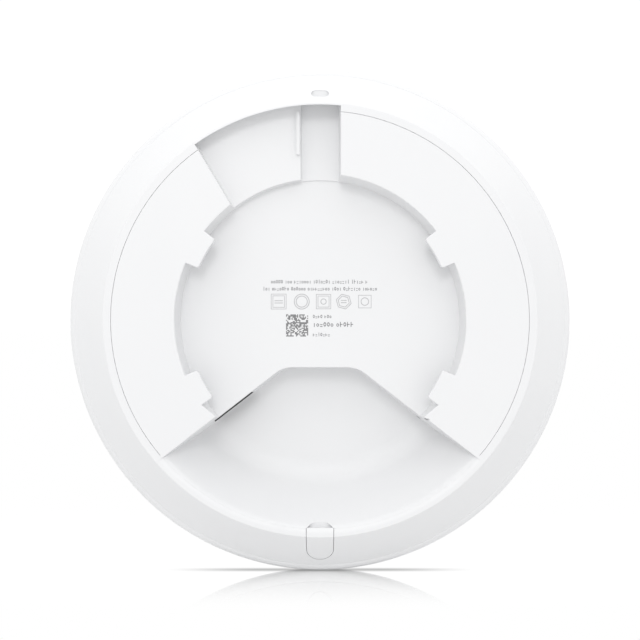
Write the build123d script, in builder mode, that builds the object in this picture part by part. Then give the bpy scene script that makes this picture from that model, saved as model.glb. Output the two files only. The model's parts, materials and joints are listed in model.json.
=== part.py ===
"""Round ceiling access point, 160 mm across and 33 mm thick.

Frame: the device's axis is Y. The rear plane, which meets the ceiling bracket, is y = 0, and the domed
front reaches y = 33. Depth below means distance in front of the rear plane. +Z points to the release
slot in the rim, and clock angles run clockwise from +Z as seen from behind.
"""

import math
import os

from build123d import *

os.makedirs("parts", exist_ok=True)

# ---------------------------------------------------------------- driving dimensions, mm
OUTER_R = 80.0
THICKNESS = 33.0
WIDEST_DEPTH = 15.8
FIT_GAP = 0.05

# rear rim
LIP_R = 63.4
RIDGE_R = 65.75
RECESS_WALL_R = 65.2
SEAM_R = 77.5
SEAM_DEPTH = 12.0
LIP_THICKNESS = 2.4
RIM_WALL = 2.0
SKIRT_DEPTH = 9.4
SKIRT_WALL = 1.5
RELEASE_R = 69.47
RELEASE_LENGTH = 5.4
RELEASE_HEIGHT = 2.6
RELEASE_DEPTH = 5.3

# rear housing
WALL = 1.6
PLATE_REAR = 0.02
PLATE_FRONT = 2.1
FLANGE_REAR = 2.5
FLANGE_FRONT = 4.1
FLANGE_WIDTH = 3.5
PLATE_GAP = 0.02
SEAM_GROOVE = 0.12
SEAM_GROOVE_DEPTH = 0.7
EDGE_R = 0.3
CENTRE_R = 44.15
CENTRE_DEPTH = 8.5
CENTRE_FLOOR = 1.8
CENTRE_DRAFT = 4.4
TAB_R = 40.05
TAB_UPPER = (59.75, 14.5)
TAB_LOWER = (119.0, 13.4)
TAB_CORNER_R = 0.8
BAY_CORNER = (43.0, 133.3)
SKIRT_GAP = 0.015
SKIRT_LEAN = 2.5
RIB_WIDTH = 1.0
RIB_LENGTH = 13.2
RIB_HEIGHT = 1.2
RIB_Z = 57.5
SECTOR_DEPTH = 5.5
CHANNEL_DEPTH = 8.0
CHANNEL_HALF = 6.26
RECESS_DRAFT = 3.0
SECTOR_EDGE = ((-26.4, 33.8), (-37.6, 52.66))

# cable bay
BAY_DEPTH = 19.5
BAY_DRAFT = 5.0
BAY_SLOPE = 37.8
BAY_WALL_OFFSET = 3.77
BAY_TOP_Z = -13.95
BAY_CORNER_R = 8.0
RAMP_FOOT_R = 50.2
RAMP_TOP_R = 63.2
RAMP_FOOT_FILLET = 9.0
RAMP_TOP_FILLET = 3.0

# socket and reset switch, placed along the slanted bay walls
PORT_ALONG = 38.3
PORT_WIDTH = 14.8
PORT_HEIGHT = 8.6
PORT_MID_DEPTH = 14.8
NOSE_PROUD = 0.6
NOSE_GAP = 0.1
PLUG_CAVITY_WIDTH = 11.9
PLUG_CAVITY_HEIGHT = 6.7
PLUG_CAVITY_MID = 15.3
PLUG_CAVITY_LENGTH = 13.0
LATCH_RELIEF_WIDTH = 6.2
LATCH_RELIEF_HEIGHT = 1.0
CONTACTS = 8
CONTACT_PITCH = 1.02
CONTACT_SIZE = 0.4
CONTACT_ROOT = 4.0
CONTACT_TIP = 14.2
CONTACT_RISE = 2.6
COMB_SLOT = 0.62
COMB_DEPTH = 0.9
JACK_WIDTH = 16.0
JACK_REAR = 10.45
JACK_LENGTH = 21.0
JACK_SETBACK = 1.75
SHEET = 0.3
RESET_ALONG = 44.35
RESET_DEPTH = 17.6
RESET_HOLE_R = 0.85
RESET_PIN_R = 0.75
RESET_GROOVE_R = 0.45
RESET_GROOVE_SETBACK = 0.63
RESET_GROOVE_DEPTH = 8.0
SWITCH_SETBACK = 2.4
SWITCH_WIDTH = 6.0
SWITCH_LENGTH = 3.6

# cable exit plug
PLUG_HALF = 4.1
PLUG_TOP = 63.0
PLUG_END = 74.9
PLUG_GAP = 0.14
PLUG_WALL = 2.4
PASSAGE_DEPTH = 7.5
PRY_R = 5.9
PRY_DEPTH = 2.3

# board and light ring
BOARD_REAR = 22.0
BOARD_FRONT = 23.6
BOARD_R = 70.0
BOSS_CIRCLE_R = 60.0
BOSS_CLOCKS = (40, 90, 122, 238, 270, 320)
BOSS_R = 3.4
BOSS_TOP_R = 2.5
BOSS_STEP_DEPTH = 16.4
SCREW_PILOT_R = 1.15
SCREW_SHANK_R = 1.1
SCREW_HEAD_R = 2.6
SCREW_HEAD_HEIGHT = 1.7
SCREW_LENGTH = 9.0
RING_IN_R = 27.7
RING_OUT_R = 29.3
RING_FLANGE = 2.6
RING_FLANGE_THICKNESS = 1.5
REFLECTOR_WALL = 1.2
LED_COUNT = 8
LED_SIZE = (1.2, 2.0)
LED_HEIGHT = 0.7
COVER_WALL = 2.2
DOME_R = 402.8
DOME_END_R = 62.0

# board layout: x, z, width and height of each piece, then how far it stands off the board
CAN_TOP = 19.0
CAN_SHEET = 0.25
SHIELD_CANS = {
    "processor_shield": (12, 12, 34, 30),
    "radio_shield_top": (17, 42, 28, 18),
    "radio_shield_side": (46, 4, 18, 26),
}
BOARD_BLOCKS = {
    "processor_chip": (5, 13, 14, 14, 1.4),
    "memory_chip": (21, 15, 9, 12, 1.2),
    "radio_chip_top": (17, 42, 9, 9, 1.0),
    "radio_chip_side": (46, 4, 9, 9, 1.0),
    "flash_chip": (-16, 52, 8, 6, 1.6),
    "network_transformer": (-44.5, 8.5, 13, 17, 6.4),
    "power_inductor": (-19.5, 6, 8, 8, 4.2),
}
BLOCK_EDGE = 0.2
PADS_ON_CANS = ((12, 12, 26, 22), (17, 42, 20, 12), (46, 4, 12, 18))
PADS_ON_CHIPS = ((5, 13, 12, 12, 1.4), (17, 42, 8, 8, 1.0), (46, 4, 8, 8, 1.0))
PAD_THICKNESS = 1.0
TRANSFORMER_AT = (-21, 26)
TRANSFORMER_FLANGE = (15, 13)
TRANSFORMER_COIL = (10, 11.5)
TRANSFORMER_COIL_HEIGHT = 6.4
TRANSFORMER_POST = 1.2
CAPACITORS_AT = ((-43, 29), (-34, 39))
CAPACITOR_R = 4.0
CAPACITOR_HEIGHT = 9.6
HEAT_PLATE_R = 63.2
HEAT_PLATE_THICKNESS = 1.5
HEAT_RIB = (50, 5)
HEAT_RIB_AT = (28, 26)
HEAT_RIB_HEIGHT = 0.9
ANTENNA_CIRCLE_R = 51.0
ANTENNA_TOP = 26.4
ANTENNA_SHEET = 0.4
ANTENNAS = {
    "antenna_low_band_right": (45, 24, 9),
    "antenna_low_band_left": (-45, 24, 9),
    "antenna_high_band_right": (100, 13, 6),
    "antenna_high_band_left": (-100, 13, 6),
}


# ---------------------------------------------------------------- shared geometry
def depth_plane(depth):
    """Sketch plane facing the rear, with x along X and y along Z."""
    return Plane.XZ.offset(-depth)


def clock_point(radius, clock):
    angle = math.radians(clock)
    return (radius * math.sin(angle), radius * math.cos(angle))


def dome_depth(radius, inset=0.0):
    """Depth of the front dome at a radius, or of the surface a wall thickness behind it."""
    return THICKNESS - DOME_R + math.sqrt((DOME_R - inset) ** 2 - radius**2)


def save(piece, name):
    piece.part.label = name
    export_step(piece.part, f"parts/{name}.step")


def prism(points, rear, front, taper=0.0):
    """Straight or drafted prism; the points are its outline at the front end."""
    with BuildPart() as body:
        with BuildSketch(depth_plane(front)):
            with BuildLine():
                Polyline(*points, close=True)
            make_face()
        extrude(amount=front - rear, taper=-taper)
    return body.part


def ring(inner, outer, rear, front):
    with BuildPart() as body:
        with BuildSketch(depth_plane(front)):
            Circle(outer)
            if inner:
                Circle(inner, mode=Mode.SUBTRACT)
        extrude(amount=front - rear)
    return body.part


def box(x, z, width, height, rear, front):
    with BuildPart() as body:
        with BuildSketch(depth_plane(front)):
            with Locations((x, z)):
                Rectangle(width, height)
        extrude(amount=front - rear)
    return body.part


def bay_wall_points(depth, grow):
    """Outline of the cable bay at a depth: top edge, two slanted walls, open towards the rim."""
    slope = math.radians(BAY_SLOPE)
    inset = depth * math.tan(math.radians(BAY_DRAFT))
    top_z = BAY_TOP_Z - inset + grow
    offset = BAY_WALL_OFFSET + inset - grow
    corner_x = (-offset - top_z * math.cos(slope)) / math.sin(slope)
    far_z = -90.0
    far_x = (-offset - far_z * math.cos(slope)) / math.sin(slope)
    return [(-corner_x, top_z), (corner_x, top_z), (far_x, far_z), (-far_x, far_z)]


def bay_volume(grow):
    """Space of the cable bay, or the same space grown by a wall thickness."""
    front = BAY_DEPTH + grow
    ramp = Vector(RAMP_TOP_R - RAMP_FOOT_R, -BAY_DEPTH)
    side = Vector(-ramp.Y, ramp.X).normalized() * grow
    foot_r = RAMP_FOOT_R + side.X - (grow - side.Y) * ramp.X / ramp.Y
    top_r = RAMP_TOP_R + side.X - (PLATE_REAR - side.Y) * ramp.X / BAY_DEPTH
    with BuildPart() as volume:
        with BuildSketch(depth_plane(front)) as outline:
            with BuildLine():
                Polyline(*bay_wall_points(front, grow), close=True)
            make_face()
            upper = outline.vertices().group_by(Axis.Z)[-1]
            fillet(upper, BAY_CORNER_R + grow)
        extrude(amount=front + 3, taper=-BAY_DRAFT)
        with BuildSketch(Plane.XY) as profile:
            with BuildLine():
                Polyline(
                    (0, -2),
                    (0, front),
                    (foot_r, front),
                    (top_r, PLATE_REAR),
                    (LIP_R + 5, PLATE_REAR),
                    (LIP_R + 5, -2),
                    close=True,
                )
            make_face()
            foot = profile.vertices().sort_by_distance((foot_r, front))[0]
            fillet(foot, RAMP_FOOT_FILLET + grow)
            crest = profile.vertices().sort_by_distance((top_r, PLATE_REAR))[0]
            fillet(crest, RAMP_TOP_FILLET - grow)
        revolve(axis=Axis.Y, mode=Mode.INTERSECT)
    return volume.part


def recess_outline(depth, grow, right_x):
    """Latch recess outline: from its slanted left edge to a straight right edge."""
    inset = depth * math.tan(math.radians(RECESS_DRAFT))
    near, far = (Vector(*point) for point in SECTOR_EDGE)
    along = (far - near).normalized()
    across = Vector(along.Y, -along.X) * (inset - grow)
    start = near + across - along * 6
    end = far + across + along * 30
    right = right_x - inset + grow
    return [(start.X, start.Y), (end.X, end.Y), (right, end.Y), (right, start.Y)]


def wall_plane(side, along):
    """Plane on a slanted bay wall: x along the wall, y towards the front, z into the bay."""
    slope = math.radians(BAY_SLOPE)
    normal = Vector(-side * math.sin(slope), 0, -math.cos(slope))
    run = Vector(side * math.cos(slope), 0, -math.sin(slope))
    origin = normal * (BAY_WALL_OFFSET + CENTRE_DEPTH * math.tan(math.radians(BAY_DRAFT))) + run * along
    return Plane(origin=origin, x_dir=run * -side, z_dir=normal)


PORT_PLANE = wall_plane(-1, PORT_ALONG)
RESET_PLANE = wall_plane(1, RESET_ALONG)
RESET_GROOVE = RESET_PLANE.origin - RESET_PLANE.z_dir * RESET_GROOVE_SETBACK
JACK_FACE = PORT_PLANE.offset(-JACK_SETBACK)
BOSS_POINTS = [clock_point(BOSS_CIRCLE_R, clock) for clock in BOSS_CLOCKS]


def u_prism(half, top, end, rear, front):
    with BuildPart() as body:
        with BuildSketch(depth_plane(front)):
            with Locations((0, -(top + end - half) / 2)):
                Rectangle(2 * half, end - half - top)
            with Locations((0, -(end - half))):
                Circle(half)
        extrude(amount=front - rear)
    return body.part


# ---------------------------------------------------------------- tool solids
bay_space = bay_volume(0)
bay_block = bay_volume(WALL)
channel_space = prism(
    [
        (-CHANNEL_HALF + 0.42, 38),
        (CHANNEL_HALF - 0.42, 38),
        (CHANNEL_HALF - 0.42, 75),
        (-CHANNEL_HALF + 0.42, 75),
    ],
    -1,
    CHANNEL_DEPTH,
    RECESS_DRAFT,
)
sector_space = prism(recess_outline(SECTOR_DEPTH, 0, CHANNEL_HALF), -1, SECTOR_DEPTH, RECESS_DRAFT)
sector_block = prism(
    recess_outline(SECTOR_DEPTH + WALL, WALL, CHANNEL_HALF), PLATE_REAR, SECTOR_DEPTH + WALL, RECESS_DRAFT
)
channel_block = box(0, 54, 2 * (CHANNEL_HALF + WALL), 34, PLATE_REAR, CHANNEL_DEPTH + WALL)
plug_opening = u_prism(PLUG_HALF + PLUG_GAP, PLUG_TOP - 1, PLUG_END + PLUG_GAP, -2, SEAM_DEPTH)

with BuildPart() as centre_cone:
    with BuildSketch(depth_plane(CENTRE_DEPTH)):
        Circle(CENTRE_R - CENTRE_DEPTH * math.tan(math.radians(CENTRE_DRAFT)))
    extrude(amount=CENTRE_DEPTH + 1, taper=-CENTRE_DRAFT)

with BuildPart() as release_pocket:
    with BuildSketch(depth_plane(RELEASE_DEPTH)):
        with Locations((0, RELEASE_R)):
            SlotOverall(RELEASE_LENGTH, RELEASE_HEIGHT)
    extrude(amount=RELEASE_DEPTH + 1)


# ---------------------------------------------------------------- rear rim
with BuildPart() as rear_rim:
    slope = (SEAM_R - RIDGE_R) / SEAM_DEPTH
    inner_seam_r = SEAM_R - RIM_WALL * math.hypot(1, slope)
    skirt_out_r = RECESS_WALL_R + SKIRT_LEAN + SKIRT_WALL
    with BuildSketch(Plane.XY) as rim_section:
        with BuildLine():
            Polyline(
                (RECESS_WALL_R, 0),
                (RIDGE_R, 0),
                (SEAM_R, SEAM_DEPTH),
                (inner_seam_r, SEAM_DEPTH),
                (skirt_out_r, SEAM_DEPTH - (inner_seam_r - skirt_out_r) / slope),
                (skirt_out_r, SKIRT_DEPTH),
                (RECESS_WALL_R + SKIRT_LEAN, SKIRT_DEPTH),
                close=True,
            )
        make_face()
        ridge = rim_section.vertices().sort_by_distance((RIDGE_R, 0))[0]
        fillet(ridge, 0.5)
        parting = rim_section.vertices().sort_by_distance((SEAM_R, SEAM_DEPTH))[0]
        chamfer(parting, 0.25)
    revolve(axis=Axis.Y)
    with BuildSketch(depth_plane(LIP_THICKNESS)):
        Circle(RECESS_WALL_R + 0.25)
        Circle(LIP_R, mode=Mode.SUBTRACT)
        with BuildLine():
            Polyline(*recess_outline(0, 0.05, CHANNEL_HALF), close=True)
        make_face(mode=Mode.SUBTRACT)
    extrude(amount=LIP_THICKNESS)
    add(release_pocket, mode=Mode.SUBTRACT)
    add(plug_opening, mode=Mode.SUBTRACT)
    add(bay_space, mode=Mode.SUBTRACT)
save(rear_rim, "rear_rim")

# ---------------------------------------------------------------- rear housing
with BuildPart() as rear_housing:
    plate_r = LIP_R - PLATE_GAP
    skirt_in_r = RECESS_WALL_R - SKIRT_GAP
    with BuildSketch(depth_plane(PLATE_FRONT)):
        Circle(plate_r)
    extrude(amount=PLATE_FRONT - PLATE_REAR)
    add(ring(LIP_R - FLANGE_WIDTH, plate_r, PLATE_REAR, FLANGE_FRONT))
    add(ring(LIP_R - FLANGE_WIDTH, RECESS_WALL_R - 0.55, FLANGE_REAR, FLANGE_FRONT))
    with BuildSketch(depth_plane(CENTRE_DEPTH + CENTRE_FLOOR)):
        Circle(CENTRE_R + WALL - 0.6)
    extrude(amount=CENTRE_DEPTH + CENTRE_FLOOR - PLATE_REAR, taper=-CENTRE_DRAFT)
    add(sector_block)
    add(channel_block)
    add(bay_block)
    # everything outside the rim's skirt, and outside the lip behind it, is trimmed away
    with BuildSketch(Plane.XY):
        with BuildLine():
            Polyline(
                (0, PLATE_REAR),
                (plate_r, PLATE_REAR),
                (plate_r, FLANGE_REAR),
                (skirt_in_r + SKIRT_LEAN * FLANGE_REAR / SKIRT_DEPTH, FLANGE_REAR),
                (skirt_in_r + SKIRT_LEAN, SKIRT_DEPTH),
                (skirt_in_r + SKIRT_LEAN, BOARD_REAR),
                (0, BOARD_REAR),
                close=True,
            )
        make_face()
    revolve(axis=Axis.Y, mode=Mode.INTERSECT)
    # screw bosses, stepped where the heat plate sits
    with BuildSketch(depth_plane(BOSS_STEP_DEPTH)):
        with Locations(*BOSS_POINTS):
            Circle(BOSS_R)
    extrude(amount=BOSS_STEP_DEPTH - PLATE_FRONT + 0.5)
    with BuildSketch(depth_plane(BOARD_REAR)):
        with Locations(*BOSS_POINTS):
            Circle(BOSS_TOP_R)
    extrude(amount=BOARD_REAR - BOSS_STEP_DEPTH + 0.5)
    with BuildSketch(depth_plane(BOARD_REAR)):
        with Locations(*BOSS_POINTS):
            Circle(SCREW_PILOT_R)
    extrude(amount=SCREW_LENGTH, mode=Mode.SUBTRACT)
    # the open spaces
    add(centre_cone, mode=Mode.SUBTRACT)
    add(sector_space, mode=Mode.SUBTRACT)
    add(channel_space, mode=Mode.SUBTRACT)
    # four bayonet tabs reach in over the centre recess, level with the plate
    with BuildSketch(depth_plane(PLATE_FRONT)) as tabs:
        for clock, width in (TAB_UPPER, TAB_LOWER):
            for turn in (clock, -clock):
                with BuildLine():
                    corners = [
                        clock_point(TAB_R, turn - width / 2),
                        clock_point(TAB_R, turn),
                        clock_point(TAB_R, turn + width / 2),
                        clock_point(CENTRE_R + 1.2, turn + width / 2),
                        clock_point(CENTRE_R + 1.2, turn - width / 2),
                    ]
                    ThreePointArc(*corners[:3])
                    Polyline(corners[2], corners[3], corners[4], corners[0])
                make_face()
        inner_corners = tabs.vertices().group_by(SortBy.DISTANCE)[0]
        fillet(inner_corners, TAB_CORNER_R)
        # the plate's edge runs straight from the lower tabs to the cable bay
        for side in (1, -1):
            tab_end = side * (TAB_LOWER[0] + TAB_LOWER[1] / 2)
            with BuildLine():
                Polyline(
                    clock_point(CENTRE_R - 0.05, tab_end),
                    clock_point(BAY_CORNER[0], side * BAY_CORNER[1]),
                    clock_point(CENTRE_R + 1.2, side * (BAY_CORNER[1] + 1)),
                    clock_point(CENTRE_R + 1.2, tab_end),
                    close=True,
                )
            make_face()
    extrude(amount=PLATE_FRONT - PLATE_REAR)
    add(bay_space, mode=Mode.SUBTRACT)
    # guide rib beside the channel
    with BuildSketch(depth_plane(SECTOR_DEPTH + 0.3)):
        with Locations((-CHANNEL_HALF - RIB_WIDTH / 2, RIB_Z)):
            Rectangle(RIB_WIDTH, RIB_LENGTH)
    extrude(amount=RIB_HEIGHT + 0.3)
    # socket opening, reset hole with its pin groove, pry recess, and the passage behind the plug
    with BuildSketch(PORT_PLANE.offset(-4)):
        with Locations((0, PORT_MID_DEPTH)):
            Rectangle(PORT_WIDTH, PORT_HEIGHT)
    extrude(amount=9, mode=Mode.SUBTRACT)
    with BuildSketch(RESET_PLANE.offset(-4)):
        with Locations((0, RESET_DEPTH)):
            Circle(RESET_HOLE_R)
    extrude(amount=9, mode=Mode.SUBTRACT)
    with BuildSketch(depth_plane(PRY_DEPTH)):
        with Locations((0, -(PLUG_TOP - 1.6 + PRY_R))):
            Circle(PRY_R)
    extrude(amount=PRY_DEPTH + 1, mode=Mode.SUBTRACT)
    with BuildSketch(depth_plane(PASSAGE_DEPTH)):
        with Locations((0, -PLUG_TOP - 4)):
            Rectangle(2 * PLUG_HALF + 2 * PLUG_GAP, 8)
    extrude(amount=PASSAGE_DEPTH + 1, mode=Mode.SUBTRACT)
    # rounded edges round the plate's openings
    plate_edges = rear_housing.faces().filter_by(Axis.Y).group_by(Axis.Y)[0].edges()
    inner_edges = plate_edges.filter_by(lambda edge: (edge @ 0.5).length < LIP_R - 1)
    straight_bay_edge = inner_edges.filter_by(GeomType.LINE).sort_by(SortBy.LENGTH)[-1]
    fillet([edge for edge in inner_edges if edge is not straight_bay_edge], EDGE_R)
    with BuildSketch(depth_plane(RESET_GROOVE_DEPTH)):
        with Locations((RESET_GROOVE.X, RESET_GROOVE.Z)):
            Circle(RESET_GROOVE_R)
    extrude(amount=RESET_GROOVE_DEPTH + 1, mode=Mode.SUBTRACT)
    # fine groove that marks the plate off from the rim, absent along the cable bay
    with BuildSketch(depth_plane(SEAM_GROOVE_DEPTH)):
        Circle(LIP_R + 1)
        Circle(LIP_R - SEAM_GROOVE, mode=Mode.SUBTRACT)
        with BuildLine():
            Polyline(*bay_wall_points(0, 1.0), close=True)
        make_face(mode=Mode.SUBTRACT)
    extrude(amount=SEAM_GROOVE_DEPTH + 1, mode=Mode.SUBTRACT)
save(rear_housing, "rear_housing")

# ---------------------------------------------------------------- cable exit plug
with BuildPart() as cable_exit_plug:
    with BuildSketch(Plane.XY):
        with BuildLine():
            Polyline(
                (PLUG_TOP, 0),
                (RIDGE_R, 0),
                (SEAM_R, SEAM_DEPTH),
                (SEAM_R, SEAM_DEPTH + PLUG_WALL),
                (RIDGE_R - 0.6, PLUG_WALL),
                (PLUG_TOP, PLUG_WALL),
                close=True,
            )
        make_face()
    revolve(axis=Axis.Y)
    add(u_prism(PLUG_HALF, PLUG_TOP, PLUG_END, -2, SEAM_DEPTH + 2), mode=Mode.INTERSECT)
    add(bay_space, mode=Mode.SUBTRACT)
    # block that fills the passage through the skirt
    with BuildSketch(depth_plane(PASSAGE_DEPTH - 0.2)):
        with Locations((0, -PLUG_TOP - 2.6)):
            Rectangle(2 * PLUG_HALF - 0.4, 3.4)
            Rectangle(2 * PLUG_HALF - 3.4, 1.0, mode=Mode.SUBTRACT)
    extrude(amount=PASSAGE_DEPTH - 2.0)
save(cable_exit_plug, "cable_exit_plug")

# ---------------------------------------------------------------- front cover, centre cap, light ring
with BuildPart() as front_cover:
    with BuildSketch(Plane.XY) as cover_section:
        with BuildLine():
            rim_start = (SEAM_R, SEAM_DEPTH + FIT_GAP)
            widest = (OUTER_R, WIDEST_DEPTH)
            dome_end = (DOME_END_R, dome_depth(DOME_END_R))
            ring_edge = (RING_OUT_R, dome_depth(RING_OUT_R))
            ThreePointArc(rim_start, (OUTER_R - 0.75, SEAM_DEPTH + 1.7), widest)
            Spline(widest, (OUTER_R - 3.4, 23.2), dome_end, tangents=((0, 1), (-DOME_R, DOME_END_R)))
            ThreePointArc(dome_end, (46, dome_depth(46)), ring_edge)
            inner_edge = (RING_OUT_R, dome_depth(RING_OUT_R, COVER_WALL))
            inner_end = (DOME_END_R - 0.4, dome_depth(DOME_END_R - 0.4, COVER_WALL))
            inner_wide = (OUTER_R - COVER_WALL, WIDEST_DEPTH)
            Line(ring_edge, inner_edge)
            ThreePointArc(inner_edge, (46, dome_depth(46, COVER_WALL)), inner_end)
            Spline(inner_end, (OUTER_R - 5.1, 21.8), inner_wide, tangents=((DOME_R, -DOME_END_R), (0, -1)))
            Polyline(inner_wide, (SEAM_R - 2.6, SEAM_DEPTH + FIT_GAP), rim_start)
        make_face()
        chamfer(cover_section.vertices().sort_by_distance(rim_start)[0], 0.2)
    revolve(axis=Axis.Y)
save(front_cover, "front_cover")

with BuildPart() as front_centre_cap:
    with BuildSketch(Plane.XY):
        with BuildLine():
            cap_edge = (RING_IN_R, dome_depth(RING_IN_R))
            cap_inner = (RING_IN_R, dome_depth(RING_IN_R, COVER_WALL))
            Line((0, THICKNESS - COVER_WALL), (0, THICKNESS))
            ThreePointArc((0, THICKNESS), (RING_IN_R / 2, dome_depth(RING_IN_R / 2)), cap_edge)
            Line(cap_edge, cap_inner)
            ThreePointArc(cap_inner, (RING_IN_R / 2, dome_depth(RING_IN_R / 2, COVER_WALL)),
                          (0, THICKNESS - COVER_WALL))
        make_face()
    revolve(axis=Axis.Y)
save(front_centre_cap, "front_centre_cap")

RING_SEAT = dome_depth(RING_OUT_R + 3, COVER_WALL) - FIT_GAP
RING_BACK = RING_SEAT - RING_FLANGE_THICKNESS
with BuildPart() as light_ring:
    with BuildSketch(Plane.XY):
        with BuildLine():
            Polyline(
                (RING_IN_R - RING_FLANGE, RING_BACK),
                (RING_OUT_R + RING_FLANGE, RING_BACK),
                (RING_OUT_R + RING_FLANGE, RING_SEAT),
                (RING_OUT_R - FIT_GAP, RING_SEAT),
                (RING_OUT_R - FIT_GAP, dome_depth(RING_OUT_R) - 0.15),
                (RING_IN_R + FIT_GAP, dome_depth(RING_OUT_R) - 0.15),
                (RING_IN_R + FIT_GAP, RING_SEAT),
                (RING_IN_R - RING_FLANGE, RING_SEAT),
                close=True,
            )
        make_face()
    revolve(axis=Axis.Y)
save(light_ring, "light_ring")

with BuildPart() as light_ring_reflector:
    with BuildSketch(Plane.XY):
        with BuildLine():
            for edge, out in ((RING_IN_R, -1), (RING_OUT_R, 1)):
                Polyline(
                    (edge + out * (RING_FLANGE + REFLECTOR_WALL), BOARD_FRONT),
                    (edge + out * RING_FLANGE, BOARD_FRONT),
                    (edge + out * RING_FLANGE, RING_BACK - 0.9),
                    (edge + out * (RING_FLANGE - REFLECTOR_WALL), RING_BACK),
                    (edge + out * (RING_FLANGE + REFLECTOR_WALL), RING_BACK),
                    close=True,
                )
        make_face()
    revolve(axis=Axis.Y)
    # four bridges join the two walls
    with BuildSketch(depth_plane(BOARD_FRONT + 0.6)):
        with PolarLocations((RING_IN_R + RING_OUT_R) / 2, 4, start_angle=22.5):
            Rectangle(8.4, 1.2)
    extrude(amount=0.6)
save(light_ring_reflector, "light_ring_reflector")

with BuildPart() as status_leds:
    with BuildSketch(depth_plane(BOARD_FRONT + LED_HEIGHT)):
        with PolarLocations((RING_IN_R + RING_OUT_R) / 2, LED_COUNT):
            Rectangle(*LED_SIZE)
    extrude(amount=LED_HEIGHT)
save(status_leds, "status_leds")

# ---------------------------------------------------------------- main board and what is on it
with BuildPart() as main_board:
    with BuildSketch(depth_plane(BOARD_FRONT)):
        Circle(BOARD_R)
        with Locations(*BOSS_POINTS):
            Circle(1.6, mode=Mode.SUBTRACT)
        with Locations((0, -BOARD_R)):
            Rectangle(16, 12, mode=Mode.SUBTRACT)
    extrude(amount=BOARD_FRONT - BOARD_REAR)
save(main_board, "main_board")

with BuildPart() as board_screws:
    with BuildSketch(depth_plane(BOARD_FRONT + SCREW_HEAD_HEIGHT)):
        with Locations(*BOSS_POINTS):
            Circle(SCREW_HEAD_R)
    extrude(amount=SCREW_HEAD_HEIGHT)
    fillet(board_screws.faces().group_by(Axis.Y)[-1].edges(), 0.5)
    with BuildSketch(depth_plane(BOARD_FRONT)):
        with Locations(*BOSS_POINTS):
            Circle(SCREW_SHANK_R)
    extrude(amount=SCREW_LENGTH)
    with BuildSketch(depth_plane(BOARD_FRONT + SCREW_HEAD_HEIGHT)):
        with Locations(*BOSS_POINTS):
            Rectangle(2.6, 0.7)
            Rectangle(0.7, 2.6)
    extrude(amount=1.0, mode=Mode.SUBTRACT)
save(board_screws, "board_screws")


def shield_can(x, z, width, height):
    """Open-bottomed sheet-metal can soldered to the rear of the board."""
    with BuildPart() as can:
        with BuildSketch(depth_plane(BOARD_REAR)):
            with Locations((x, z)):
                RectangleRounded(width, height, 1.0)
        extrude(amount=BOARD_REAR - CAN_TOP)
        with BuildSketch(depth_plane(BOARD_REAR)):
            with Locations((x, z)):
                RectangleRounded(width - 2 * CAN_SHEET, height - 2 * CAN_SHEET, 1.0 - CAN_SHEET)
        extrude(amount=BOARD_REAR - CAN_TOP - CAN_SHEET, mode=Mode.SUBTRACT)
    return can


def board_block(x, z, width, height, tall):
    """Component body standing on the rear of the board."""
    with BuildPart() as block:
        with BuildSketch(depth_plane(BOARD_REAR)):
            with Locations((x, z)):
                Rectangle(width, height)
        extrude(amount=tall)
        chamfer(block.faces().sort_by(Axis.Y)[0].edges(), BLOCK_EDGE)
    return block


for name, layout in SHIELD_CANS.items():
    save(shield_can(*layout), name)
for name, layout in BOARD_BLOCKS.items():
    save(board_block(*layout), name)

with BuildPart() as power_transformer:
    coil_top = BOARD_REAR - 2.0
    post_offset = (TRANSFORMER_FLANGE[1] - TRANSFORMER_POST) / 2
    with BuildSketch(depth_plane(BOARD_REAR)):
        with Locations(TRANSFORMER_AT):
            Rectangle(*TRANSFORMER_FLANGE)
    extrude(amount=2.0)
    with BuildSketch(depth_plane(coil_top)):
        with Locations(TRANSFORMER_AT):
            Rectangle(*TRANSFORMER_COIL)
            with Locations((0, post_offset), (0, -post_offset)):
                Rectangle(TRANSFORMER_FLANGE[0], TRANSFORMER_POST)
    extrude(amount=TRANSFORMER_COIL_HEIGHT)
    with BuildSketch(depth_plane(coil_top - TRANSFORMER_COIL_HEIGHT)):
        with Locations(TRANSFORMER_AT):
            Rectangle(*TRANSFORMER_FLANGE)
    extrude(amount=1.6)
save(power_transformer, "power_transformer")

with BuildPart() as bulk_capacitors:
    with BuildSketch(depth_plane(BOARD_REAR)):
        with Locations(*CAPACITORS_AT):
            Circle(CAPACITOR_R)
    extrude(amount=CAPACITOR_HEIGHT)
    chamfer(bulk_capacitors.faces().filter_by(Axis.Y).group_by(Axis.Y)[0].edges(), 0.5)
save(bulk_capacitors, "bulk_capacitors")

with BuildPart() as thermal_pads:
    for x, z, width, height in PADS_ON_CANS:
        add(box(x, z, width, height, CAN_TOP - PAD_THICKNESS, CAN_TOP))
    for x, z, width, height, tall in PADS_ON_CHIPS:
        add(box(x, z, width, height, CAN_TOP + CAN_SHEET, BOARD_REAR - tall))
save(thermal_pads, "thermal_pads")

with BuildPart() as heat_plate:
    with BuildSketch(depth_plane(CAN_TOP - PAD_THICKNESS)):
        Circle(HEAT_PLATE_R)
        # cut away over the power parts and the cable bay
        with Locations((-40, 0)):
            Rectangle(54, 140, mode=Mode.SUBTRACT)
        with Locations((0, -46)):
            Rectangle(140, 70, mode=Mode.SUBTRACT)
        with Locations(*BOSS_POINTS):
            Circle(BOSS_TOP_R + 0.3, mode=Mode.SUBTRACT)
    extrude(amount=HEAT_PLATE_THICKNESS)
    # stiffening rib pressed across the plate
    with BuildSketch(depth_plane(CAN_TOP - PAD_THICKNESS - HEAT_PLATE_THICKNESS)):
        with Locations(HEAT_RIB_AT):
            SlotOverall(*HEAT_RIB, rotation=-40)
    extrude(amount=HEAT_RIB_HEIGHT)
save(heat_plate, "heat_plate")


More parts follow.
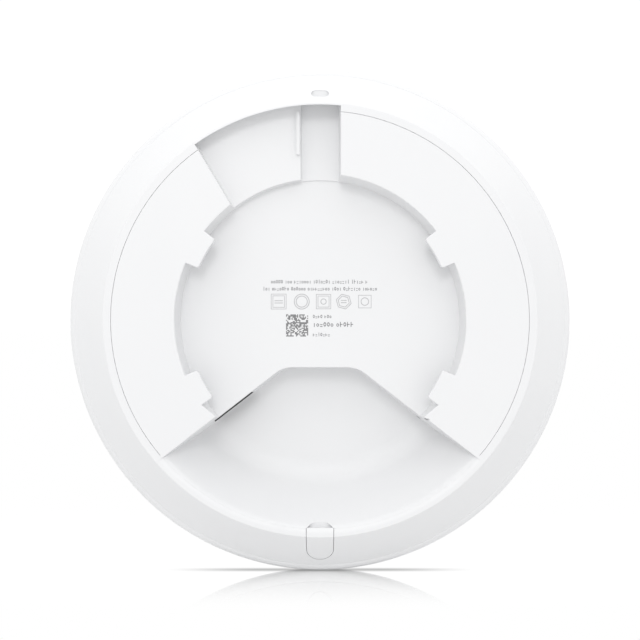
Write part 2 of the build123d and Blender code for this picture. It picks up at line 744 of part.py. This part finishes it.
def antenna(clock, width, height):
    """Stamped inverted-F antenna: a top plate on a feed leg and a ground leg."""
    corner = (-width / 2 + 0.75, -height / 2 + ANTENNA_SHEET / 2)
    feed = (-width / 2 + 5, corner[1])
    place = Location((*clock_point(ANTENNA_CIRCLE_R, clock), 0), (0, 0, -clock))
    with BuildPart() as plate:
        with BuildSketch(depth_plane(ANTENNA_TOP)):
            with Locations(place):
                Rectangle(width, height)
                with Locations((width * 0.15, -height * 0.1)):
                    Rectangle(width * 0.5, 1.2, mode=Mode.SUBTRACT)
        extrude(amount=ANTENNA_SHEET)
        with BuildSketch(depth_plane(ANTENNA_TOP)):
            with Locations(place):
                with Locations(corner, feed):
                    Rectangle(1.5, ANTENNA_SHEET)
        extrude(amount=ANTENNA_TOP - BOARD_FRONT)
    return plate


for name, layout in ANTENNAS.items():
    save(antenna(*layout), name)

# ---------------------------------------------------------------- network socket
JACK_MID = (JACK_REAR + BOARD_REAR) / 2
JACK_HEIGHT = BOARD_REAR - JACK_REAR
with BuildPart() as port_shell:
    with BuildSketch(JACK_FACE):
        with Locations((0, JACK_MID)):
            Rectangle(JACK_WIDTH, JACK_HEIGHT)
    extrude(amount=-JACK_LENGTH)
    with BuildSketch(JACK_FACE):
        with Locations((0, JACK_MID + SHEET)):
            Rectangle(JACK_WIDTH - 2 * SHEET, JACK_HEIGHT)
    extrude(amount=-JACK_LENGTH + SHEET, mode=Mode.SUBTRACT)
save(port_shell, "port_shell")

INSERT_REAR = JACK_REAR + SHEET + FIT_GAP
INSERT_HEIGHT = BOARD_REAR - INSERT_REAR
with BuildPart() as port_insert:
    with BuildSketch(JACK_FACE.offset(-0.2)):
        with Locations((0, INSERT_REAR + INSERT_HEIGHT / 2)):
            Rectangle(JACK_WIDTH - 2 * SHEET - 2 * FIT_GAP, INSERT_HEIGHT)
    extrude(amount=-(JACK_LENGTH - SHEET - 0.3))
    # nose that fills the opening in the bay wall
    with BuildSketch(JACK_FACE.offset(-0.3)):
        with Locations((0, PORT_MID_DEPTH + NOSE_GAP / 2)):
            Rectangle(PORT_WIDTH - 2 * NOSE_GAP, PORT_HEIGHT - 3 * NOSE_GAP)
    extrude(amount=JACK_SETBACK + 0.3 + NOSE_PROUD)
    with BuildSketch(PORT_PLANE.offset(NOSE_PROUD + 0.1)):
        with Locations((0, PLUG_CAVITY_MID)):
            Rectangle(PLUG_CAVITY_WIDTH, PLUG_CAVITY_HEIGHT)
        with Locations((0, PLUG_CAVITY_MID - (PLUG_CAVITY_HEIGHT + LATCH_RELIEF_HEIGHT) / 2)):
            Rectangle(LATCH_RELIEF_WIDTH, LATCH_RELIEF_HEIGHT)
    extrude(amount=-(PLUG_CAVITY_LENGTH + JACK_SETBACK + NOSE_PROUD), mode=Mode.SUBTRACT)
    # comb of contact slots in the wall next to the board
    with BuildSketch(JACK_FACE.offset(-0.5)):
        with Locations((0, PLUG_CAVITY_MID + (PLUG_CAVITY_HEIGHT + COMB_DEPTH) / 2)):
            with GridLocations(CONTACT_PITCH, 1, CONTACTS, 1):
                Rectangle(COMB_SLOT, COMB_DEPTH)
    extrude(amount=-(PLUG_CAVITY_LENGTH - 0.5), mode=Mode.SUBTRACT)
save(port_insert, "port_insert")

with BuildPart() as port_contacts:
    contact_depth = PLUG_CAVITY_MID + PLUG_CAVITY_HEIGHT / 2 + 0.35
    for index in range(CONTACTS):
        x = (index - (CONTACTS - 1) / 2) * CONTACT_PITCH - CONTACT_SIZE / 2
        side = Plane(origin=PORT_PLANE.from_local_coords(Vector(x, 0, 0)),
                     x_dir=-PORT_PLANE.z_dir, z_dir=PORT_PLANE.x_dir)
        with BuildSketch(side):
            with BuildLine():
                Polyline(
                    (CONTACT_ROOT, contact_depth),
                    (CONTACT_TIP, contact_depth - CONTACT_RISE),
                    (CONTACT_TIP, contact_depth - CONTACT_RISE + CONTACT_SIZE),
                    (CONTACT_ROOT, contact_depth + CONTACT_SIZE),
                    close=True,
                )
            make_face()
        extrude(amount=CONTACT_SIZE)
save(port_contacts, "port_contacts")

# ---------------------------------------------------------------- reset button and its switch
with BuildPart() as reset_button:
    with BuildSketch(RESET_PLANE.offset(0.9)):
        with Locations((0, RESET_DEPTH)):
            Circle(RESET_PIN_R)
    extrude(amount=-4.8)
save(reset_button, "reset_button")

with BuildPart() as reset_switch:
    switch_rear = RESET_DEPTH - 2.6
    with BuildSketch(RESET_PLANE.offset(-SWITCH_SETBACK)):
        with Locations((0, (BOARD_REAR + switch_rear) / 2)):
            Rectangle(SWITCH_WIDTH, BOARD_REAR - switch_rear)
    extrude(amount=-SWITCH_LENGTH)
    with BuildSketch(RESET_PLANE.offset(-SWITCH_SETBACK)):
        with Locations((0, RESET_DEPTH)):
            Circle(RESET_PIN_R + FIT_GAP)
    extrude(amount=-2.2, mode=Mode.SUBTRACT)
save(reset_switch, "reset_switch")
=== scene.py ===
"""Looks for the round ceiling access point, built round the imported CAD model, in metres."""

import json
import math
import random

import bpy
import bmesh
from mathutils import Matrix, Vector


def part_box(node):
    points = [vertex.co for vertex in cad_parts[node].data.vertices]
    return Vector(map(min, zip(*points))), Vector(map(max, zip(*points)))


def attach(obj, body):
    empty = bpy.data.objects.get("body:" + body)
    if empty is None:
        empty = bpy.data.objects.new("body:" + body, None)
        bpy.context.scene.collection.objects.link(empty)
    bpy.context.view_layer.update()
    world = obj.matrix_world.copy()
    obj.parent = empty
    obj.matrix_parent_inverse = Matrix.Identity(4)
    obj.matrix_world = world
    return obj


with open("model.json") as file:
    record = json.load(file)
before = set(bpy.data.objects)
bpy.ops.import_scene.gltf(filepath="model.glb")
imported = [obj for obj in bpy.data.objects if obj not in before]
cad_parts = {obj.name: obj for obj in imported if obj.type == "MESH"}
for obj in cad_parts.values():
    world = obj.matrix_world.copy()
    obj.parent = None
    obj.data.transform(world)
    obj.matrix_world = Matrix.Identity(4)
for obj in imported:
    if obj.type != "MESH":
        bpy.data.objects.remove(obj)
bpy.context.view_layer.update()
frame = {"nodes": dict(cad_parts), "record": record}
NODES = frame["nodes"]
MM = 0.001

# The cover's widest line stands on the floor.
FLOOR_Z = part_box("front_cover")[0].z
FLOOR_GAP = 0.05 * MM
FLOOR_REACH = 6.0
CONTACT_Y = 15.8 * MM
REAR_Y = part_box("rear_rim")[0].y
RECESS_FLOOR_Y = 8.5 * MM
PRINT_RISE = 0.03 * MM


# ---------------------------------------------------------------- material helpers
class Nodes:
    """Short calls for the maths nodes of any node tree."""

    def __init__(self, node_tree):
        self.nodes = node_tree.nodes
        self.links = node_tree.links

    def link(self, source, target):
        self.links.new(source, target)

    def remap(self, source, low, high, from_low=0.0, from_high=1.0, smooth=False):
        """Low at from_low to high at from_high, along a line or a smooth step."""
        node = self.nodes.new("ShaderNodeMapRange")
        if smooth:
            node.interpolation_type = "SMOOTHSTEP"
        node.inputs["From Min"].default_value = from_low
        node.inputs["From Max"].default_value = from_high
        node.inputs["To Min"].default_value = low
        node.inputs["To Max"].default_value = high
        self.link(source, node.inputs["Value"])
        return node.outputs["Result"]

    def math(self, operation, first, second=0.0):
        """One maths node; first and second are sockets or numbers."""
        node = self.nodes.new("ShaderNodeMath")
        node.operation = operation
        for slot, value in ((0, first), (1, second)):
            if isinstance(value, (int, float)):
                node.inputs[slot].default_value = value
            else:
                self.link(value, node.inputs[slot])
        return node.outputs[0]


class Tree(Nodes):
    """A new material with short calls for the texture, colour and bump nodes used here."""

    def __init__(self, name):
        self.material = bpy.data.materials.new(name)
        self.material.use_nodes = True
        super().__init__(self.material.node_tree)
        self.shader = self.nodes["Principled BSDF"]
        coords = self.nodes.new("ShaderNodeTexCoord")
        self.place = coords.outputs["Object"]

    def set(self, **values):
        for key, value in values.items():
            self.shader.inputs[key.replace("_", " ")].default_value = value

    def stretched(self, scale):
        mapping = self.nodes.new("ShaderNodeMapping")
        mapping.inputs["Scale"].default_value = scale
        self.link(self.place, mapping.inputs["Vector"])
        return mapping.outputs["Vector"]

    def noise(self, scale, detail=3.0, rough=0.55, place=None):
        node = self.nodes.new("ShaderNodeTexNoise")
        node.inputs["Scale"].default_value = scale
        node.inputs["Detail"].default_value = detail
        node.inputs["Roughness"].default_value = rough
        self.link(place or self.place, node.inputs["Vector"])
        return node.outputs["Fac"]

    def cells(self, scale, feature="F1"):
        node = self.nodes.new("ShaderNodeTexVoronoi")
        node.feature = feature
        node.inputs["Scale"].default_value = scale
        self.link(self.place, node.inputs["Vector"])
        return node.outputs["Distance"]

    def blend(self, factor, first, second):
        """Colour mix; first and second are sockets or colours, and factor is a socket."""
        node = self.nodes.new("ShaderNodeMix")
        node.data_type = "RGBA"
        self.link(factor, node.inputs[0])
        for slot, value in ((6, first), (7, second)):
            if isinstance(value, tuple):
                node.inputs[slot].default_value = (*value, 1)
            else:
                self.link(value, node.inputs[slot])
        return node.outputs[2]

    def bump(self, height, distance, strength):
        node = self.nodes.new("ShaderNodeBump")
        node.inputs["Strength"].default_value = strength
        node.inputs["Distance"].default_value = distance
        self.link(height, node.inputs["Height"])
        self.link(node.outputs["Normal"], self.shader.inputs["Normal"])


def moulded_plastic(name, colour, shade, rough, dust=(0.78, 0.77, 0.74)):
    """Moulded plastic: fine spark-eroded grain, faint flow marks, a little dust and handling gloss."""
    tree = Tree(name)
    flow = tree.noise(14, 4, 0.6, tree.stretched((1.0, 2.5, 0.6)))
    base = tree.blend(tree.remap(flow, 0, 1, 0.3, 0.7), colour, shade)
    specks = tree.remap(tree.noise(900, 2, 0.7), 0, 0.35, 0.70, 0.80)
    base = tree.blend(specks, base, dust)
    tree.link(base, tree.shader.inputs["Base Color"])
    gloss = tree.noise(55, 5, 0.65)
    tree.link(tree.remap(gloss, rough - 0.05, rough + 0.07, 0.25, 0.75), tree.shader.inputs["Roughness"])
    fine = tree.noise(2600, 2, 0.6)
    wave = tree.noise(60, 2, 0.5)
    height = tree.math("ADD", tree.math("MULTIPLY", fine, 0.25), wave)
    tree.bump(height, 0.00005, 0.6)
    tree.set(IOR=1.5)
    return tree.material


def brushed_metal(name, colour, shade, rough, streaks=(1.0, 1.0, 40.0), depth=0.00002):
    """Rolled or plated sheet metal with fine streaks, fingerprints and dull patches."""
    tree = Tree(name)
    lines = tree.noise(220, 3, 0.6, tree.stretched(streaks))
    patches = tree.noise(38, 4, 0.6)
    base = tree.blend(tree.remap(patches, 0, 1, 0.35, 0.7), colour, shade)
    tree.link(base, tree.shader.inputs["Base Color"])
    mixed = tree.math("ADD", tree.math("MULTIPLY", lines, 0.5), tree.math("MULTIPLY", patches, 0.5))
    tree.link(tree.remap(mixed, rough - 0.08, rough + 0.14, 0.3, 0.7), tree.shader.inputs["Roughness"])
    tree.bump(lines, depth, 0.5)
    tree.set(Metallic=1.0)
    return tree.material


def light_guide(name):
    """Frosted translucent ring: milky, with a faint cool tint and blurred depth."""
    tree = Tree(name)
    cloud = tree.noise(120, 4, 0.6)
    base = tree.blend(tree.remap(cloud, 0, 1, 0.3, 0.7), (0.80, 0.84, 0.88), (0.88, 0.90, 0.92))
    tree.link(base, tree.shader.inputs["Base Color"])
    tree.link(tree.remap(tree.noise(700), 0.28, 0.42), tree.shader.inputs["Roughness"])
    tree.bump(tree.noise(1500, 2), 0.00004, 0.5)
    tree.shader.inputs["Subsurface Weight"].default_value = 0.35
    tree.shader.inputs["Subsurface Scale"].default_value = 0.002
    tree.set(IOR=1.49)
    return tree.material


def circuit_board(name):
    """Green solder mask over copper: darker pours, lighter tracks and tiny vias."""
    tree = Tree(name)
    pours = tree.remap(tree.cells(42), 0, 1, 0.40, 0.43)
    base = tree.blend(pours, (0.012, 0.105, 0.045), (0.02, 0.16, 0.07))
    tracks = tree.remap(tree.cells(300, "DISTANCE_TO_EDGE"), 1, 0, 0.02, 0.05)
    base = tree.blend(tracks, base, (0.03, 0.22, 0.10))
    vias = tree.remap(tree.cells(520), 1, 0, 0.10, 0.14)
    base = tree.blend(vias, base, (0.55, 0.46, 0.2))
    tree.link(base, tree.shader.inputs["Base Color"])
    tree.link(tree.remap(tree.noise(200), 0.25, 0.4), tree.shader.inputs["Roughness"])
    tree.bump(tree.math("ADD", tracks, tree.noise(900, 2)), 0.00003, 0.5)
    return tree.material


def moulded_epoxy(name, colour, shade):
    """Black chip compound: matt with a sandy grain and a pale laser-cut haze."""
    tree = Tree(name)
    base = tree.blend(tree.remap(tree.noise(500, 4, 0.7), 0, 1, 0.35, 0.7), colour, shade)
    tree.link(base, tree.shader.inputs["Base Color"])
    tree.link(tree.remap(tree.noise(1300, 3), 0.5, 0.72), tree.shader.inputs["Roughness"])
    tree.bump(tree.noise(3000, 2), 0.00005, 0.6)
    return tree.material


def wound_core(name):
    """Ferrite and winding tape: dark grey with bands of amber tape."""
    tree = Tree(name)
    bands = tree.nodes.new("ShaderNodeTexWave")
    bands.bands_direction = "Y"
    bands.inputs["Scale"].default_value = 260
    bands.inputs["Distortion"].default_value = 1.2
    tree.link(tree.place, bands.inputs["Vector"])
    taped = tree.remap(bands.outputs["Fac"], 0, 1, 0.45, 0.6)
    base = tree.blend(taped, (0.035, 0.033, 0.03), (0.16, 0.10, 0.03))
    tree.link(base, tree.shader.inputs["Base Color"])
    tree.link(tree.remap(tree.noise(400), 0.45, 0.65), tree.shader.inputs["Roughness"])
    tree.bump(bands.outputs["Fac"], 0.0001, 0.4)
    return tree.material


def soft_pad(name):
    """Grey-blue silicone sheet, dull and finely pitted."""
    tree = Tree(name)
    base = tree.blend(tree.noise(300, 4), (0.36, 0.45, 0.52), (0.46, 0.54, 0.60))
    tree.link(base, tree.shader.inputs["Base Color"])
    tree.link(tree.remap(tree.noise(800), 0.7, 0.9), tree.shader.inputs["Roughness"])
    tree.bump(tree.cells(900), 0.00008, 0.4)
    return tree.material


def led_package(name):
    """Small LED: a clear lens over yellow phosphor."""
    tree = Tree(name)
    lens = tree.remap(tree.cells(700), 0, 1, 0.25, 0.55)
    base = tree.blend(lens, (0.82, 0.72, 0.22), (0.86, 0.85, 0.8))
    tree.link(base, tree.shader.inputs["Base Color"])
    tree.link(tree.remap(tree.noise(900), 0.15, 0.3), tree.shader.inputs["Roughness"])
    tree.bump(lens, 0.00005, 0.5)
    return tree.material


WHITE = (0.765, 0.768, 0.775)
WHITE_SHADE = (0.745, 0.749, 0.758)
materials = {
    "cover_plastic": moulded_plastic("cover plastic", WHITE, WHITE_SHADE, 0.42),
    "housing_plastic": moulded_plastic("housing plastic", WHITE, WHITE_SHADE, 0.50),
    "reflector_plastic": moulded_plastic("reflector plastic", (0.90, 0.90, 0.89), (0.87, 0.87, 0.86), 0.55),
    "light_guide": light_guide("light guide"),
    "led_package": led_package("led package"),
    "circuit_board": circuit_board("circuit board"),
    "shield_tin": brushed_metal("shield tin", (0.66, 0.66, 0.64), (0.55, 0.55, 0.54), 0.32),
    "chip_epoxy": moulded_epoxy("chip epoxy", (0.018, 0.018, 0.02), (0.035, 0.035, 0.037)),
    "winding_core": wound_core("winding core"),
    "can_aluminium": brushed_metal("can aluminium", (0.72, 0.73, 0.75), (0.62, 0.63, 0.65), 0.30),
    "pad_silicone": soft_pad("pad silicone"),
    "plate_aluminium": brushed_metal("plate aluminium", (0.70, 0.71, 0.72), (0.60, 0.61, 0.62), 0.38),
    "antenna_metal": brushed_metal("antenna metal", (0.62, 0.50, 0.26), (0.50, 0.40, 0.22), 0.35),
    "screw_steel": brushed_metal("screw steel", (0.50, 0.50, 0.50), (0.40, 0.40, 0.41), 0.30),
    "socket_shell": brushed_metal("socket shell", (0.56, 0.56, 0.55), (0.44, 0.44, 0.44), 0.28),
    "socket_plastic": moulded_plastic("socket plastic", (0.022, 0.022, 0.024), (0.03, 0.03, 0.033), 0.5,
                                      dust=(0.06, 0.06, 0.06)),
    "contact_metal": brushed_metal("contact metal", (0.85, 0.62, 0.25), (0.72, 0.5, 0.2), 0.22),
    "button_plastic": moulded_plastic("button plastic", (0.36, 0.36, 0.37), (0.32, 0.32, 0.33), 0.5,
                                      dust=(0.40, 0.40, 0.39)),
}
for entry in frame["record"]["subparts"]:
    mesh = NODES[entry["node"]].data
    mesh.materials.clear()
    mesh.materials.append(materials[entry["material_slot"]])


# ---------------------------------------------------------------- printed marks in the centre recess
def ink(name, colour, faded):
    """Pad-printed ink, thin enough in places for the plastic to show through."""
    tree = Tree(name)
    worn = tree.remap(tree.noise(1800, 3, 0.7), 0, 1, 0.3, 0.75)
    tree.link(tree.blend(worn, colour, faded), tree.shader.inputs["Base Color"])
    tree.link(tree.remap(worn, 0.5, 0.7), tree.shader.inputs["Roughness"])
    tree.bump(tree.noise(2600, 2), 0.00003, 0.4)
    return tree.material


def printed(name, shapes, material):
    """One thin mesh on the recess floor; each shape is a list of (x, z) corners in millimetres."""
    form = bmesh.new()
    for outline in shapes:
        form.faces.new([form.verts.new((x * MM, RECESS_FLOOR_Y - PRINT_RISE, z * MM)) for x, z in outline])
    for face in form.faces:
        face.normal_update()
        if face.normal.y > 0:
            face.normal_flip()
    mesh = bpy.data.meshes.new(name)
    form.to_mesh(mesh)
    form.free()
    mesh.materials.append(material)
    piece = bpy.data.objects.new(name, mesh)
    bpy.context.scene.collection.objects.link(piece)
    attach(piece, "housing")


def bar(x, z, width, height):
    """Upright rectangle from its lower left corner."""
    return [(x, z), (x + width, z), (x + width, z + height), (x, z + height)]


def band(x, z, outer, inner, sides, squash=1.0):
    """Closed band between two polygons, as separate quads."""
    quads = []
    for index in range(sides):
        first, second = (math.tau * (index + step) / sides + math.pi / 4 for step in (0, 1))
        corners = ((outer, first), (outer, second), (inner, second), (inner, first))
        quads.append([(x + r * math.cos(a), z + squash * r * math.sin(a)) for r, a in corners])
    return quads


def stroke_mark(rng, x, z, width, height, line):
    """One meaningless mark of small print: a ring, a post, two short bars or a post with a bar."""
    kind = rng.random()
    middle = z + height / 2
    if kind < 0.4:
        return band(x + width / 2, middle, width * 0.58, width * 0.58 - line, 8, height / width * 0.8)
    if kind < 0.6:
        return [bar(x + width * 0.4, z, line, height)]
    if kind < 0.8:
        return [bar(x, z, width, line), bar(x, middle, width, line)]
    return [bar(x, z, line, height), bar(x, middle - line / 2, width, line)]


def small_print(rng, left, right, z, height, width, line):
    """A row of marks in word-like groups, filling the space from left to right."""
    marks = []
    x = left
    while x + width < right:
        for _ in range(rng.randint(3, 9)):
            if x + width > right:
                break
            marks += stroke_mark(rng, x, z, width, height * rng.choice((0.75, 0.75, 1.0)), line)
            x += width * 1.42
        x += width * 0.9
    return marks


# Rows of small print, in millimetres: left end, right end, foot, mark height, mark width, line width.
PRINT_ROWS = (
    (-15.3, 15.3, 11.35, 1.25, 0.55, 0.17),
    (-17.8, 17.8, 9.15, 1.25, 0.55, 0.17),
    (-2.2, 3.6, 0.55, 1.15, 0.55, 0.17),
    (-2.2, 10.8, -2.15, 1.55, 0.78, 0.24),
    (-2.2, 3.6, -5.1, 1.15, 0.55, 0.17),
)
rng = random.Random(7)
rows = []
for layout in PRINT_ROWS:
    rows += small_print(rng, *layout)

# Five outline symbols in a row: square, ring, square with a ring, hexagon, square with a ring.
LINE = 0.22
SYMBOL_Z = 5.75
# Each outline: middle x, outer reach, number of sides.
OUTLINES = (
    (-12.9, 3.4, 4),
    (-12.9, 2.65, 4),
    (1.1, 3.3, 4),
    (1.1, 2.55, 4),
    (1.1, 0.95, 20),
    (-5.7, 2.45, 24),
    (-5.7, 1.85, 24),
    (7.4, 2.5, 6),
    (7.4, 1.9, 6),
    (14.0, 2.9, 4),
    (14.0, 1.3, 16),
)
# Bars inside two of them: left end, foot, length.
SYMBOL_BARS = ((-14.2, 5.9, 2.6), (-14.2, 5.2, 2.6), (6.5, 5.3, 1.8), (6.5, 6.0, 1.8))
symbols = [bar(x, z, length, LINE) for x, z, length in SYMBOL_BARS]
for x, reach, sides in OUTLINES:
    symbols += band(x, SYMBOL_Z, reach, reach - LINE, sides)

# A square of random dots that holds no code.
CELLS = 20
CELL = 6.9 / CELLS
MATRIX_CORNER = (-10.6, -5.15)
DOT_SHARE = 0.55
matrix = [
    bar(MATRIX_CORNER[0] + column * CELL, MATRIX_CORNER[1] + row * CELL, CELL, CELL)
    for row in range(CELLS)
    for column in range(CELLS)
    if rng.random() < DOT_SHARE
]
printed("label_small_print", rows, ink("print ink", (0.21, 0.21, 0.22), (0.32, 0.32, 0.33)))
printed("label_symbols", symbols, ink("symbol ink", (0.40, 0.40, 0.41), (0.50, 0.50, 0.51)))
printed("label_dot_matrix", matrix, ink("matrix ink", (0.17, 0.17, 0.175), (0.26, 0.26, 0.265)))


# ---------------------------------------------------------------- floor, light and camera
# Largest share of reflection in the floor, and how dark the painted contact shadow gets.
FLOOR_GLOSS = 0.62
CONTACT_DARKNESS = 0.5


def contact_shade(maths, x, y):
    """Painted shadow: a thin soft dark streak in the floor's colour where the object's widest line meets the
    floor, fading to both sides.
    """
    across = maths.math("ABSOLUTE", maths.math("SUBTRACT", y, CONTACT_Y))
    along = maths.math("ABSOLUTE", x)
    dark = maths.remap(across, CONTACT_DARKNESS, 0.0, 0.0, 3 * MM, smooth=True)
    reach = maths.remap(along, 1.0, 0.0, 18 * MM, 54 * MM, smooth=True)
    return maths.math("SUBTRACT", 1.0, maths.math("MULTIPLY", dark, reach))


def glossy_floor():
    """Polished white acrylic: bright, with a reflection that fades in front of and behind the object, and a
    painted contact shadow in its colour.
    """
    material = bpy.data.materials.new("acrylic floor")
    material.use_nodes = True
    nodes = material.node_tree.nodes
    links = material.node_tree.links
    nodes.clear()
    maths = Nodes(material.node_tree)
    out = nodes.new("ShaderNodeOutputMaterial")
    mix = nodes.new("ShaderNodeMixShader")
    white = nodes.new("ShaderNodeEmission")
    white.inputs["Strength"].default_value = 1.0
    gloss = nodes.new("ShaderNodeBsdfGlossy")
    gloss.inputs["Roughness"].default_value = 0.04
    coords = nodes.new("ShaderNodeTexCoord")
    split = nodes.new("ShaderNodeSeparateXYZ")
    links.new(coords.outputs["Object"], split.inputs["Vector"])
    x, y = split.outputs["X"], split.outputs["Y"]
    in_front = maths.remap(y, 0.0, FLOOR_GLOSS, -22 * MM, 16 * MM, smooth=True)
    behind = maths.remap(y, 0.0, 1.0, 120 * MM, 30 * MM, smooth=True)
    links.new(maths.math("MULTIPLY", in_front, behind), mix.inputs["Fac"])
    # Painted shadow: the contact streak darkens both the floor's white and its reflection colour.
    shade = contact_shade(maths, x, y)
    links.new(shade, white.inputs["Color"])
    links.new(shade, gloss.inputs["Color"])
    links.new(white.outputs["Emission"], mix.inputs[1])
    links.new(gloss.outputs["BSDF"], mix.inputs[2])
    links.new(mix.outputs["Shader"], out.inputs["Surface"])
    return material


floor_form = bmesh.new()
bmesh.ops.create_grid(floor_form, x_segments=2, y_segments=2, size=FLOOR_REACH)
floor_mesh = bpy.data.meshes.new("floor")
floor_form.to_mesh(floor_mesh)
floor_form.free()
floor_mesh.materials.append(glossy_floor())
floor = bpy.data.objects.new("floor", floor_mesh)
floor.location.z = FLOOR_Z - FLOOR_GAP
bpy.context.scene.collection.objects.link(floor)

# Brightness of the surround that lights the object, low down and high up, and of the plain backdrop.
SKY_LOW = 0.76
SKY_HIGH = 1.31
BACKDROP = 1.05


def studio_world():
    """Even white surround: plain white behind the object, and brighter overhead than below for its light."""
    world = bpy.data.worlds.new("studio")
    world.use_nodes = True
    nodes = world.node_tree.nodes
    links = world.node_tree.links
    sky = nodes["Background"]
    sky.inputs["Color"].default_value = (1, 1, 1, 1)
    coords = nodes.new("ShaderNodeTexCoord")
    split = nodes.new("ShaderNodeSeparateXYZ")
    links.new(coords.outputs["Generated"], split.inputs["Vector"])
    light = Nodes(world.node_tree).remap(split.outputs["Z"], SKY_LOW, SKY_HIGH, -0.4, 0.9)
    path = nodes.new("ShaderNodeLightPath")
    seen = nodes.new("ShaderNodeMix")
    seen.inputs[3].default_value = BACKDROP
    links.new(path.outputs["Is Camera Ray"], seen.inputs[0])
    links.new(light, seen.inputs[2])
    links.new(seen.outputs[0], sky.inputs["Strength"])
    bpy.context.scene.world = world


studio_world()


def soft_light(name, place, size, watts):
    """Round soft box that faces the object."""
    data = bpy.data.lights.new(name, "AREA")
    data.shape = "DISK"
    data.size = size
    data.energy = watts
    light = bpy.data.objects.new(name, data)
    light.location = place
    light.rotation_euler = (-Vector(place)).to_track_quat("-Z", "Y").to_euler()
    bpy.context.scene.collection.objects.link(light)


soft_light("top_softbox", (-0.15, -0.35, 0.9), 0.7, 0.3)
soft_light("front_softbox", (-0.04, -0.85, 0.36), 0.3, 1.3)

CAMERA_DISTANCE = 260 * MM
SENSOR_MM = 36.0
LENS_MM = 48.375
camera_data = bpy.data.cameras.new("camera")
camera_data.sensor_width = SENSOR_MM
camera_data.lens = LENS_MM
camera_data.clip_start = 0.005
camera_data.clip_end = 50
camera = bpy.data.objects.new("camera", camera_data)
camera.location = (0, REAR_Y - CAMERA_DISTANCE, 0)
camera.rotation_euler = (math.radians(90), 0, 0)
bpy.context.scene.collection.objects.link(camera)
bpy.context.scene.camera = camera
bpy.context.scene.view_settings.view_transform = "Standard"
